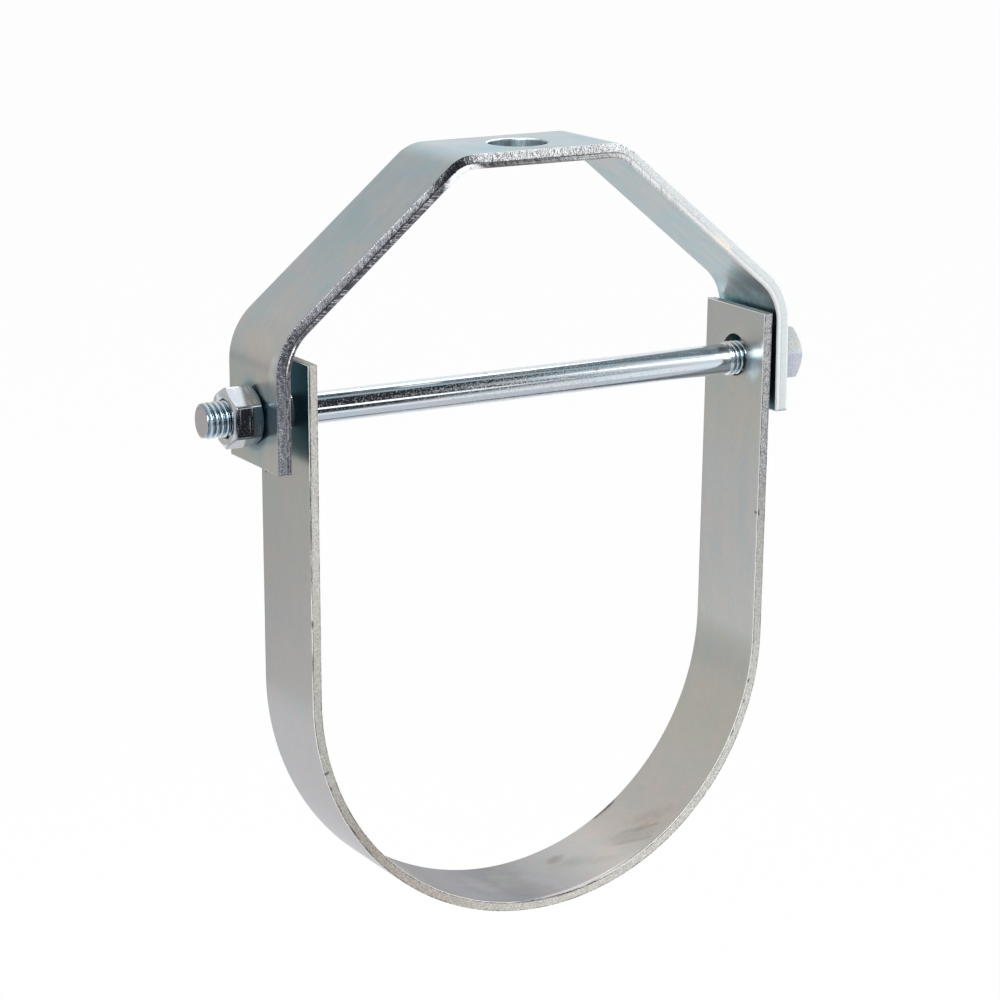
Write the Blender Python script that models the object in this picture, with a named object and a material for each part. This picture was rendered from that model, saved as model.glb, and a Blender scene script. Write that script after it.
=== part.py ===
"""Adjustable clevis hanger for 6 in. steel pipe, zinc plated.

A folded yoke hangs from a threaded rod through the hole in its top. A U-shaped
lower strap carries the pipe and swings on a cross rod, which passes through both
straps and is held by a hex nut at each end.

Metres, +Z up, +X along the cross rod. The origin is the centre of the hole in the
yoke, on the top face.
"""
from math import copysign, cos, pi, radians, sin, tan

import bmesh
import bpy
from mathutils import Matrix, Vector

# Gap between pieces that touch
SEAT_GAP = 0.0003

# Lower strap, the U
STRAP_WIDTH = 0.0381
STRAP_THICKNESS = 0.0035
STRAP_RADIUS = 0.090
STRAP_DROP = 0.0998
STRAP_TAIL = 0.0195
STRAP_HOLE_CLEARANCE = 0.0028
STRAP_OFFSET = 0.0011
STRAP_LEAN_LEFT = radians(0.0)
STRAP_LEAN_RIGHT = radians(1.1)

# Yoke, the upper strap
YOKE_WIDTH = 0.0381
YOKE_THICKNESS = 0.0052
YOKE_SIDE_ROOM = 0.0054
YOKE_TOP_LENGTH = 0.0665
YOKE_SLANT = radians(40.0)
YOKE_TOP_BEND = 0.011
YOKE_SIDE_BEND = 0.019
YOKE_LEG_ABOVE_ROD = 0.0158
YOKE_LEG_BELOW_ROD = 0.0176
YOKE_HOLE_CLEARANCE = 0.0016
HANGER_ROD_HOLE = 0.0211

# Cross rod, 1/2 in. with 13 threads an inch rolled on each end
ROD_DIAMETER = 0.0127
ROD_PITCH = 0.001954
ROD_THREAD_LENGTH = 0.0286
ROD_LEFT_TAIL = 0.0080
ROD_RIGHT_TAIL = 0.0003

# Hex nuts; the right one is backed off from the yoke
NUT_WALL = 0.003175
NUT_HEIGHT = 0.0111
NUT_CHAMFER = radians(28.0)
NUT_FACE_INSET = 0.0005
NUT_COUNTERSINK = 0.0007
NUT_BACKED_OFF = 0.0021
NUT_LEFT_TURN = radians(30.0)
NUT_RIGHT_TURN = radians(-9.0)

# Sheared edges of both straps
EDGE_ROUND = 0.0004

# Facets
BEND_STEP = radians(3.0)
ROUND_SEGMENTS = 48


def zinc(name, colour, roughness):
    """Bright zinc plating over steel."""
    material = bpy.data.materials.new(name)
    material.use_nodes = True
    shader = material.node_tree.nodes["Principled BSDF"]
    shader.inputs["Base Color"].default_value = (*colour, 1.0)
    shader.inputs["Metallic"].default_value = 1.0
    shader.inputs["Roughness"].default_value = roughness
    return material


def empty_at(name, location):
    empty = bpy.data.objects.new(name, None)
    empty.location = location
    bpy.context.collection.objects.link(empty)
    return empty


def object_from(name, shape, material=None, parent=None, smooth=False):
    """Turn a bmesh into a named object, with its faces pointing out."""
    bmesh.ops.recalc_face_normals(shape, faces=shape.faces)
    mesh = bpy.data.meshes.new(name)
    shape.to_mesh(mesh)
    shape.free()
    if smooth:
        mesh.shade_smooth()
        mesh.set_sharp_from_angle(angle=radians(35.0))
    piece = bpy.data.objects.new(name, mesh)
    bpy.context.collection.objects.link(piece)
    if material:
        mesh.materials.append(material)
    piece.parent = parent
    return piece


def hide_cutter(cutter):
    cutter.hide_render = True
    cutter.display_type = "WIRE"
    return cutter


def boolean(piece, cutter, operation):
    modifier = piece.modifiers.new(cutter.name, "BOOLEAN")
    modifier.object = cutter
    modifier.operation = operation
    modifier.solver = "EXACT"


def turned(profile):
    """Revolve an (along, radius) profile round the X axis."""
    shape = bmesh.new()
    points = [shape.verts.new((along, 0.0, radius)) for along, radius in profile]
    edges = [shape.edges.new(pair) for pair in zip(points, points[1:])]
    bmesh.ops.spin(
        shape,
        geom=points + edges,
        cent=(0.0, 0.0, 0.0),
        axis=(1.0, 0.0, 0.0),
        angle=2.0 * pi,
        steps=ROUND_SEGMENTS,
    )
    bmesh.ops.remove_doubles(shape, verts=shape.verts, dist=1e-7)
    return shape


def drill(name, diameter, centre, along, length, parent=None):
    """A round cutter through a strap, along the X or Z axis."""
    shape = bmesh.new()
    turn = Matrix.Rotation(pi / 2.0, 4, "Y") if along == "X" else Matrix.Identity(4)
    bmesh.ops.create_cone(
        shape,
        cap_ends=True,
        segments=ROUND_SEGMENTS,
        radius1=diameter / 2.0,
        radius2=diameter / 2.0,
        depth=length,
        matrix=Matrix.Translation(centre) @ turn,
    )
    return hide_cutter(object_from(name, shape, parent=parent))


def arc(centre, radius, start, end):
    """Points and outward normals of an arc in the XZ plane, both ends included."""
    steps = max(1, round(abs(end - start) / BEND_STEP))
    path = []
    for step in range(steps + 1):
        angle = start + (end - start) * step / steps
        normal = Vector((cos(angle), sin(angle)))
        path.append((centre + radius * normal, normal))
    return path


def folded_strap(centreline, thickness, width):
    """Extrude a strap of constant thickness whose centreline is folded in XZ."""
    half = thickness / 2.0
    outer = [point + half * normal for point, normal in centreline]
    inner = [point - half * normal for point, normal in reversed(centreline)]
    shape = bmesh.new()
    outline = [shape.verts.new((x, -width / 2.0, z)) for x, z in outer + inner]
    side = shape.faces.new(outline)
    extruded = bmesh.ops.extrude_face_region(shape, geom=[side])["geom"]
    moved = [item for item in extruded if isinstance(item, bmesh.types.BMVert)]
    bmesh.ops.translate(shape, verts=moved, vec=(0.0, width, 0.0))
    return shape


def round_edges(piece):
    """Ease the sheared edges and the rims of the punched holes."""
    modifier = piece.modifiers.new("eased edges", "BEVEL")
    modifier.width = EDGE_ROUND
    modifier.segments = 2
    modifier.limit_method = "ANGLE"
    modifier.angle_limit = radians(50.0)


def yoke_inside():
    """Half the clear width between the yoke's legs, from the strap and its side room."""
    return STRAP_RADIUS + STRAP_THICKNESS + YOKE_SIDE_ROOM


def yoke_bends():
    """Both bends of the yoke's right half, and the height at which its leg starts."""
    half = YOKE_THICKNESS / 2.0
    leg = yoke_inside() + half
    top_radius = YOKE_TOP_BEND + half
    side_radius = YOKE_SIDE_BEND + half
    steep = pi / 2.0 - YOKE_SLANT
    top_corner = YOKE_TOP_LENGTH / 2.0 - half * tan(YOKE_SLANT / 2.0)
    leg_corner = -half - (leg - top_corner) * tan(YOKE_SLANT)
    top_start = top_corner - top_radius * tan(YOKE_SLANT / 2.0)
    leg_start = leg_corner - side_radius * tan(steep / 2.0)
    top_bend = arc(Vector((top_start, -half - top_radius)), top_radius, pi / 2.0, steep)
    side_bend = arc(Vector((leg - side_radius, leg_start)), side_radius, steep, 0.0)
    return top_bend + side_bend, leg_start


def rod_drop():
    """Depth of the cross rod below the yoke's top face."""
    return YOKE_LEG_ABOVE_ROD - yoke_bends()[1]


def yoke_hole():
    return ROD_DIAMETER + YOKE_HOLE_CLEARANCE


def strap_hole():
    return ROD_DIAMETER + STRAP_HOLE_CLEARANCE


def make_yoke(material):
    right, _ = yoke_bends()
    leg = yoke_inside() + YOKE_THICKNESS / 2.0
    foot = Vector((leg, -rod_drop() - YOKE_LEG_BELOW_ROD))
    right.append((foot, Vector((1.0, 0.0))))
    left = [(Vector((-x, z)), Vector((-nx, nz))) for (x, z), (nx, nz) in reversed(right)]
    shape = folded_strap(left + right, YOKE_THICKNESS, YOKE_WIDTH)
    yoke = object_from("yoke", shape, material)

    # The yoke sits down on the rod, so the rod lies in the top of the leg holes
    sag = (yoke_hole() - ROD_DIAMETER) / 2.0 - SEAT_GAP
    leg_holes = Vector((0.0, 0.0, -rod_drop() - sag))
    reach = 2.0 * leg + 4.0 * YOKE_THICKNESS
    boolean(yoke, drill("yoke_leg_holes", yoke_hole(), leg_holes, "X", reach), "DIFFERENCE")

    top_hole = Vector((0.0, 0.0, -YOKE_THICKNESS / 2.0))
    depth = 3.0 * YOKE_THICKNESS
    boolean(yoke, drill("yoke_top_hole", HANGER_ROD_HOLE, top_hole, "Z", depth), "DIFFERENCE")
    round_edges(yoke)
    return yoke


def strap_centreline():
    """Centreline of the U, measured from the rod axis, from the left tip to the right."""
    radius = STRAP_RADIUS + STRAP_THICKNESS / 2.0
    centre = Vector((STRAP_OFFSET, -STRAP_DROP))
    bowl = arc(centre, radius, -pi + STRAP_LEAN_LEFT, -STRAP_LEAN_RIGHT)
    tips = []
    for (foot, normal), side in ((bowl[0], -1.0), (bowl[-1], 1.0)):
        up = Vector((-side * normal.y, side * normal.x))
        tips.append((foot + up * (STRAP_TAIL - foot.y) / up.y, normal))
    return [tips[0]] + bowl + [tips[1]]


def make_lower_strap(material, axis):
    shape = folded_strap(strap_centreline(), STRAP_THICKNESS, STRAP_WIDTH)
    strap = object_from("u_strap", shape, material, parent=axis)

    # The strap stands up on the rod, so the rod lies in the bottom of its holes
    rise = (strap_hole() - ROD_DIAMETER) / 2.0 - SEAT_GAP
    holes = Vector((STRAP_OFFSET, 0.0, rise))
    reach = 2.0 * yoke_inside() + 4.0 * STRAP_THICKNESS
    boolean(strap, drill("strap_holes", strap_hole(), holes, "X", reach, axis), "DIFFERENCE")
    round_edges(strap)
    return strap


def nut_seats():
    """Distances from the middle of the hanger to the inner faces of the two nuts."""
    outside = yoke_inside() + YOKE_THICKNESS
    return outside + SEAT_GAP, outside + NUT_BACKED_OFF


def make_cross_rod(material, axis):
    """A rod whose smooth shank is thinner than the threads rolled on its ends."""
    left_seat, right_seat = nut_seats()
    left = -left_seat - NUT_HEIGHT - ROD_LEFT_TAIL
    right = right_seat + NUT_HEIGHT + ROD_RIGHT_TAIL
    crest = ROD_DIAMETER / 2.0
    shank = crest - 0.325 * ROD_PITCH
    runout = 0.75 * ROD_PITCH
    profile = [
        (left, 0.0),
        (left, crest),
        (left + ROD_THREAD_LENGTH, crest),
        (left + ROD_THREAD_LENGTH + runout, shank),
        (right - ROD_THREAD_LENGTH - runout, shank),
        (right - ROD_THREAD_LENGTH, crest),
        (right, crest),
        (right, 0.0),
    ]
    return object_from("cross_rod", turned(profile), material, parent=axis, smooth=True)


def nut_blank(flats):
    """Six flats along the X axis, with one pair of flats on top and underneath."""
    shape = bmesh.new()
    corner = flats / 2.0 / cos(pi / 6.0)
    bmesh.ops.create_cone(
        shape,
        cap_ends=True,
        segments=6,
        radius1=corner,
        radius2=corner,
        depth=NUT_HEIGHT,
        matrix=Matrix.Rotation(pi / 2.0, 4, "Y"),
    )
    return shape


def nut_chamfers(flats):
    """Turned blank that takes the corners off both faces of the nut."""
    face = flats / 2.0 - NUT_FACE_INSET
    reach = 0.6 * flats
    fall = (reach - face) * tan(NUT_CHAMFER)
    end = NUT_HEIGHT / 2.0
    half = [(-end, 0.0), (-end, face), (-end + fall, reach)]
    return turned(half + [(-along, radius) for along, radius in reversed(half)])


def nut_bore():
    """Bore with a countersink at both ends."""
    bore = ROD_DIAMETER / 2.0 + SEAT_GAP
    mouth = bore + 2.0 * NUT_COUNTERSINK
    outer = NUT_HEIGHT / 2.0 + NUT_COUNTERSINK
    inner = NUT_HEIGHT / 2.0 - NUT_COUNTERSINK
    half = [(-outer, 0.0), (-outer, mouth), (-inner, bore)]
    return turned(half + [(-along, radius) for along, radius in reversed(half)])


def make_nut(name, inner_face, turn, material, axis):
    """A nut whose face next to the yoke is at inner_face along X, left or right."""
    flats = ROD_DIAMETER + 2.0 * NUT_WALL
    nut = object_from(name, nut_blank(flats), material, parent=axis)
    chamfers = hide_cutter(object_from(name + "_chamfers", nut_chamfers(flats), parent=axis))
    bore = hide_cutter(object_from(name + "_bore", nut_bore(), parent=axis))
    middle = inner_face + copysign(NUT_HEIGHT / 2.0, inner_face)
    for piece in (nut, chamfers, bore):
        piece.location = (middle, 0.0, 0.0)
        piece.rotation_euler = (turn, 0.0, 0.0)
    boolean(nut, chamfers, "INTERSECT")
    boolean(nut, bore, "DIFFERENCE")
    return nut


def main():
    for item in list(bpy.data.objects):
        bpy.data.objects.remove(item, do_unlink=True)
    rod_axis = empty_at("rod_axis", (0.0, 0.0, -rod_drop()))
    strap_zinc = zinc("strap zinc", (0.60, 0.61, 0.60), 0.38)
    fastener_zinc = zinc("fastener zinc", (0.66, 0.69, 0.72), 0.22)
    make_yoke(strap_zinc)
    make_lower_strap(strap_zinc, rod_axis)
    make_cross_rod(fastener_zinc, rod_axis)
    left_seat, right_seat = nut_seats()
    make_nut("nut_left", -left_seat, NUT_LEFT_TURN, fastener_zinc, rod_axis)
    make_nut("nut_right", right_seat, NUT_RIGHT_TURN, fastener_zinc, rod_axis)


main()
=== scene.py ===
import math

import bmesh
import bpy
import numpy as np
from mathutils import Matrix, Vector


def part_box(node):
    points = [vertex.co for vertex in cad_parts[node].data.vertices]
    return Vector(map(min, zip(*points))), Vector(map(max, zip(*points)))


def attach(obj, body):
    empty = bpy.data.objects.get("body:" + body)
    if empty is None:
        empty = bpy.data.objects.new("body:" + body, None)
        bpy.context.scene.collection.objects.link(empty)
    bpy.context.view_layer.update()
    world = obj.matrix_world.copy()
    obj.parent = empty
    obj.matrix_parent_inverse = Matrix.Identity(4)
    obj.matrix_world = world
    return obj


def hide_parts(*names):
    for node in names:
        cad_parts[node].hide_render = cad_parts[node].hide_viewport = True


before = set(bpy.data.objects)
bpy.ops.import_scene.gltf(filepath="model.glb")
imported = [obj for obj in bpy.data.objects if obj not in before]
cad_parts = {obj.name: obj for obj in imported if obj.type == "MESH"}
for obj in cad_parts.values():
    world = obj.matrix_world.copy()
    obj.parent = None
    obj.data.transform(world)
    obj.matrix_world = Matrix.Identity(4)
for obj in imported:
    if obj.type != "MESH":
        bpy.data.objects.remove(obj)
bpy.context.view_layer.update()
rodHalf = 0.00635  # half the cross rod's diameter
pitch = 0.001954  # rise of its thread in one turn
seatGap = 0.0003  # gap left where pieces of the real hanger touch
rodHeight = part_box("cross_rod")[0][2] + rodHalf  # height of the cross rod's axis
print("frame loaded")


# An operator and its reflected form, each of which adds a Math node
def arithmetic(operation):
    def forward(first, second):
        return Wire.add("ShaderNodeMath", {"operation": operation}, {0: first, 1: second})

    def reflected(second, first):
        return forward(first, second)

    return forward, reflected


# A socket of the tree being filled
class Wire:
    tree = None

    def __init__(self, socket):
        self.socket = socket

    # Any node: its type, its settings, what feeds its sockets, and which output comes back
    @classmethod
    def add(cls, kind, settings=None, feeds=None, out=0):
        node = cls.tree.nodes.new(kind)
        for name, value in (settings or {}).items():
            if name == "stops":
                ramp = node.color_ramp
                while len(ramp.elements) < len(value):
                    ramp.elements.new(1.0)
                for stop, (place, colour) in zip(ramp.elements, value):
                    stop.position = place
                    stop.color = (*colour, 1.0)
            else:
                setattr(node, name, value)
        for name, value in (feeds or {}).items():
            if isinstance(value, Wire):
                cls.tree.links.new(value.socket, node.inputs[name])
            else:
                node.inputs[name].default_value = value
        return cls(node.outputs[out])

    __add__, __radd__ = arithmetic("ADD")
    __sub__, __rsub__ = arithmetic("SUBTRACT")
    __mul__, __rmul__ = arithmetic("MULTIPLY")
    __truediv__, __rtruediv__ = arithmetic("DIVIDE")
    __pow__, __rpow__ = arithmetic("POWER")


def tint(amount, plain, other, way="MIX"):  # colour mix
    def full(colour):
        return colour if isinstance(colour, Wire) else (*colour, 1.0)
    return Wire.add("ShaderNodeMix", {"data_type": "RGBA", "blend_type": way, "clamp_factor": True},
                    {0: amount, 6: full(plain), 7: full(other)}, 2)


def fade(value, low, high, start=0.0):  # smooth step from start to 1
    return Wire.add("ShaderNodeMapRange", {"interpolation_type": "SMOOTHSTEP"},
                    {"Value": value, "From Min": low, "From Max": high, "To Min": start, "To Max": 1.0})


def span(value, start, full, fall, end):  # rises from start to full, then falls away to the end
    return fade(value, start, full) * fade(value, end, fall)


def positive(value):  # without its sign
    return Wire.add("ShaderNodeMath", {"operation": "ABSOLUTE"}, {0: value})


def grain(place, scale, detail, roughness, twist=0.0):
    return Wire.add("ShaderNodeTexNoise", {}, {"Vector": place, "Scale": scale, "Detail": detail,
                                               "Roughness": roughness, "Distortion": twist})


def streaks(place, factors, *noise):  # grain on coordinates times a factor each way
    drawn = Wire.add("ShaderNodeVectorMath", {"operation": "MULTIPLY"}, {0: place, 1: factors})
    return grain(drawn, 1.0, *noise)


def bump(height, distance, strength, under=None):
    feeds = {"Height": height, "Distance": distance, "Strength": strength}
    if under:
        feeds["Normal"] = under
    return Wire.add("ShaderNodeBump", {}, feeds)


def startMaterial(name):
    material = bpy.data.materials.new(name)
    material.use_nodes = True
    Wire.tree = material.node_tree
    shader = material.node_tree.nodes["Principled BSDF"]
    return material, shader


def feed(shader, **values):  # Base_Color=... sets or links a socket of the shader
    for name, value in values.items():
        socket = shader.inputs[name.replace("_", " ")]
        if isinstance(value, Wire):
            Wire.tree.links.new(value.socket, socket)
        else:
            socket.default_value = value


def parts(vector):
    node = Wire.add("ShaderNodeSeparateXYZ", {}, {0: vector}).socket.node
    return [Wire(output) for output in node.outputs]


def startFinish(name):  # with millimetres along, across and through a strap, from before it was folded
    material, shader = startMaterial(name)
    place = Wire.add("ShaderNodeAttribute", {"attribute_name": "place"}, {}, 1)
    return material, shader, place, *parts(place)


def smooth(share):  # three times the square less twice the cube
    return share * share * (3.0 - 2.0 * share)


# Noise from -1 to 1: random values at the corners of a lattice, blended smoothly across each of its cells
def ripple(u, v, seed, side=64):
    lattice = np.random.default_rng(seed).uniform(-1.0, 1.0, (side, side))
    iu, iv = np.floor(u).astype(int), np.floor(v).astype(int)
    fu, fv = smooth(u - iu), smooth(v - iv)

    def across(row):
        return lattice[iu % side, row % side] * (1.0 - fu) + lattice[(iu + 1) % side, row % side] * fu

    return across(iv) * (1.0 - fv) + across(iv + 1) * fv


# Mesh of quads, without the points that no quad uses. For the finishes each point keeps its place in
# millimetres from before it was folded, or carried to the hanger
def makePiece(name, points, faces, finishes, place, slots=None):
    used, faces = np.unique(faces, return_inverse=True)
    points = points[used]
    faces = faces.reshape(-1, 4)
    mesh = bpy.data.meshes.new(name)
    mesh.vertices.add(len(points))
    mesh.vertices.foreach_set("co", points.astype(np.float32).ravel())
    mesh.loops.add(faces.size)
    mesh.loops.foreach_set("vertex_index", faces.astype(np.int32).ravel())
    mesh.polygons.add(len(faces))
    mesh.polygons.foreach_set("loop_start", np.arange(0, faces.size, 4, dtype=np.int32))
    for finish in finishes:
        mesh.materials.append(finish)
    if slots is not None:
        mesh.polygons.foreach_set("material_index", slots.astype(np.int32))
    layer = mesh.attributes.new("place", "FLOAT_VECTOR", "POINT")
    layer.data.foreach_set("vector", (place[used] * 1000.0).astype(np.float32).ravel())
    mesh.update(calc_edges=True)
    mesh.validate()
    mesh.shade_smooth()
    piece = bpy.data.objects.new(name, mesh)
    bpy.context.scene.collection.objects.link(piece)
    print(name, len(faces) * 2, "triangles")
    return piece


# Quads between the neighbouring rows of an index grid, each of which is a closed loop
def quads(rows):
    rows = np.concatenate([rows, rows[:, :1]], axis=1)
    return np.stack([rows[:-1, :-1], rows[:-1, 1:], rows[1:, 1:], rows[1:, :-1]], axis=-1).reshape(-1, 4)


# Points of a path of straights and arcs: each stretch is (length, turn), and the heading turns evenly
def walk(start, heading, stretches, s):
    along, x, z = 0.0, start[0], start[1]
    rows = []
    for length, turn in stretches:
        rate = turn / length
        rows.append((along, x, z, heading, rate))
        if abs(rate) > 1e-9:
            x += (math.sin(heading + turn) - math.sin(heading)) / rate
            z -= (math.cos(heading + turn) - math.cos(heading)) / rate
        else:
            x += length * math.cos(heading)
            z += length * math.sin(heading)
        heading += turn
        along += length
    table = np.array(rows)
    which = np.clip(np.searchsorted(table[:, 0], s, side="right") - 1, 0, len(rows) - 1)
    begin, x0, z0, angle, rate = table[which].T.reshape(5, *np.shape(s))
    run = s - begin
    curved = np.abs(rate) > 1e-9
    safe = np.where(curved, rate, 1.0)
    turned = angle + rate * run
    x = x0 + np.where(curved, (np.sin(turned) - np.sin(angle)) / safe, run * np.cos(angle))
    z = z0 - np.where(curved, (np.cos(turned) - np.cos(angle)) / safe, -run * np.sin(angle))
    return x, z, turned


# Lengths of the torn relief are in millimetres, (along the wall, through the strap)
tornRelief = {
    "coarse": (0.9, 0.7),
    "coarseShift": 40.0,
    "sideShift": 13.0,
    "fine": (0.55, 0.9),
    "fineShift": (7.0, 9.0),
    "fineShare": 0.6,
    "bare": 1.0,
    "plainCorner": 0.4,
    "easeIn": 0.35,
}


# How far a sheared wall stands out, never more than 0: a coarse ripple and a share of a fine one, cut off
# where they pass the bare level, eased in from the rounded corners and out along the strap
def tornDepth(ringS, ringY, ringH, sideS, sideY, spec):
    q = tornRelief
    room = spec["thick"] / 2.0 - spec["edgeRound"] * q["plainCorner"] - np.abs(ringH)
    deep = np.sin(np.pi * np.clip(room / (q["easeIn"] * spec["thick"]), 0.0, 0.5))
    girth = (ringS + ringY * np.where(sideS != 0.0, 1.0, 0.0)) * 1000.0
    height = ringH * 1000.0
    rough = ripple(girth / q["coarse"][0],
                   height / q["coarse"][1] + q["coarseShift"] + q["sideShift"] * sideY, spec["seed"])
    fine = ripple(girth / q["fine"][0] + q["fineShift"][0],
                  height / q["fine"][1] + q["fineShift"][1], spec["seed"] + 1)
    rough = rough + q["fineShare"] * fine - q["bare"]
    return spec["tear"] * deep * np.minimum(rough, 0.0) * np.interp(ringS, spec["tearFrom"], (1.0, 0.0))


faceSlot, edgeSlot, holeSlot = 0, 1, 2  # finishes of a strap


# A flat plate with rounded edges and round holes, as points (along, across, through) and quads.
# Each face is a grid; each wall is a loop of the grid carried through the thickness; each hole is
# a rectangle of the grid drawn in to a circle, then carried through to the other face
def flatPlate(length, spec, holes):
    width, half, edge = spec["width"], spec["thick"] / 2.0, spec["edgeRound"]
    s = np.linspace(edge, length - edge, int(round(length / spec["stepAlong"])) + 1)
    y = np.linspace(edge - width / 2.0, width / 2.0 - edge, spec["stepsAcross"] + 1)
    ns, ny = len(s), len(y)
    gridS, gridY = np.meshgrid(s, y, indexing="ij")
    top = np.stack([gridS, gridY, np.full_like(gridS, half)], axis=-1).reshape(-1, 3)
    points = [top, top * (1.0, 1.0, -1.0)]
    ids = np.arange(ns * ny).reshape(ns, ny)
    keep = np.ones((ns - 1, ny - 1), dtype=bool)
    sheets = []

    def loop(i0, i1, j0, j1):  # round a rectangle of the grid
        i, j = np.arange(i0, i1), np.arange(j0, j1)
        loopI = np.concatenate([i, np.full(len(j), i1), i[::-1] + 1, np.full(len(j), i0)])
        loopJ = np.concatenate([np.full(len(i), j0), j, np.full(len(i), j1), j[::-1] + 1])
        return ids[loopI, loopJ]

    # Rounded corner, wall with its steps, rounded corner, as (distance back from the wall, through)
    def rim(upper, lower):
        bend = np.linspace(0.0, np.pi / 2.0, spec["stepsRound"] + 1)[1:]
        last = bend - bend[0]
        wall = np.linspace(half - upper, lower - half, spec["stepsThrough"] + 1)[1:-1]
        even = np.zeros_like(wall)
        back = np.concatenate([upper * (1.0 - np.sin(bend)), even, lower * (1.0 - np.cos(last))])
        above = half - upper + upper * np.cos(bend)
        below = lower - half - lower * np.sin(last)
        return back, np.concatenate([above, wall, below])

    # Adds a grid of points, and gives its rows between the loops of the two faces that it joins
    def carry(ring, grid):
        first = sum(len(group) for group in points)
        points.append(grid.reshape(-1, 3))
        rows = first + np.arange(len(points[-1])).reshape(grid.shape[:2])
        return np.concatenate([ring[None], rows, ring[None] + ns * ny])

    def side(values, ends):  # -1 at the first end, 1 at the last, 0 between them
        return np.isclose(values, ends[-1]) * 1.0 - np.isclose(values, ends[0]) * 1.0

    around = loop(0, ns - 1, 0, ny - 1)
    back, through = rim(edge, edge)
    base = top[around]
    sideS, sideY = side(base[:, 0], s), side(base[:, 1], y)
    ringS = base[None, :, 0] + (edge - back)[:, None] * sideS
    ringY = base[None, :, 1] + (edge - back)[:, None] * sideY
    ringH = np.broadcast_to(through[:, None], ringS.shape)
    torn = tornDepth(ringS, ringY, ringH, sideS, sideY, spec)
    wall = np.stack([ringS + torn * sideS, ringY + torn * sideY, ringH], axis=-1)
    sheets.append((quads(carry(around, wall))[:, ::-1], edgeSlot))

    for centre, radius, upper, lower, margin in holes:
        reach = radius + margin
        i0, i1 = np.searchsorted(s, [centre - reach, centre + reach])
        j0, j1 = np.searchsorted(y, [-reach, reach])
        i0, i1, j0, j1 = max(i0, 1), min(i1, ns - 2), max(j0, 1), min(j1, ny - 2)
        keep[i0:i1, j0:j1] = False
        ring = loop(i0, i1, j0, j1)
        way = top[ring][:, :2] - (centre, 0.0)
        far = np.hypot(way[:, 0], way[:, 1])
        way = way / far[:, None]
        steps = spec["holeRings"]
        draw = np.linspace(0.0, 1.0, steps + 1)[1:, None]
        back, through = rim(upper, lower)
        rings = np.concatenate([far * (1.0 - draw) + (radius + upper) * draw,
                                np.repeat((radius + back)[:, None], len(far), axis=1),
                                (far * (1.0 - draw) + (radius + lower) * draw)[::-1]])
        face = np.full(steps, half)
        heights = np.concatenate([face, through, -face])[:, None]
        tube = np.broadcast_arrays(centre + rings * way[:, 0], rings * way[:, 1], heights)
        rows = carry(ring, np.stack(tube, axis=-1))
        sheets += [(quads(rows[:steps + 1]), faceSlot),
                   (quads(rows[steps:len(rows) - steps]), holeSlot),
                   (quads(rows[len(rows) - steps - 1:]), faceSlot)]

    corners = np.stack([ids[:-1, :-1], ids[1:, :-1], ids[1:, 1:], ids[:-1, 1:]], axis=-1)[keep]
    sheets += [(corners, faceSlot), (corners[:, ::-1] + ns * ny, faceSlot)]
    faces = np.concatenate([sheet for sheet, slot in sheets])
    slots = np.concatenate([np.full(len(sheet), slot) for sheet, slot in sheets])
    return np.concatenate(points), faces, slots


# Folds a flat plate: each point goes to the path's point at its length along, then square to the path by
# its place through the thickness. Side is 1 when the outside is to the left of the walk
def foldPlate(name, plate, path, side, finishes):
    points, faces, slots = plate
    x, z, heading = walk(path["start"], path["heading"], path["stretches"], points[:, 0])
    x = x - side * points[:, 2] * np.sin(heading)
    z = z + side * points[:, 2] * np.cos(heading)
    folded = np.stack([x, points[:, 1], z], axis=-1)
    if side < 0:
        faces = faces[:, ::-1]
    return makePiece(name, folded, faces, finishes, points, slots)


yokeSize = {
    "width": 0.0381,
    "thick": 0.0052,
    "inside": 0.0989,
    "topLength": 0.0665,
    "slant": math.radians(40.0),
    "topBend": 0.011,
    "sideBend": 0.019,
    "legAboveRod": 0.0158,
    "legBelowRod": 0.0176,
    "legHole": 0.0143,
    "legHoleRound": 0.0004,
    "legHoleMargin": 0.0045,
    "topHole": 0.0211,
    "topHoleRound": 0.0006,
    "topHoleUnder": 0.0005,
    "topHoleMargin": 0.0050,
    "edgeRound": 0.0004,
    "stepAlong": 0.00055,
    "stepsAcross": 26,
    "stepsThrough": 9,
    "stepsRound": 5,
    "holeRings": 5,
    "tear": 0.00010,
    "tearFrom": (0.150, 0.205),
    "seed": 4,
}


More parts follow.
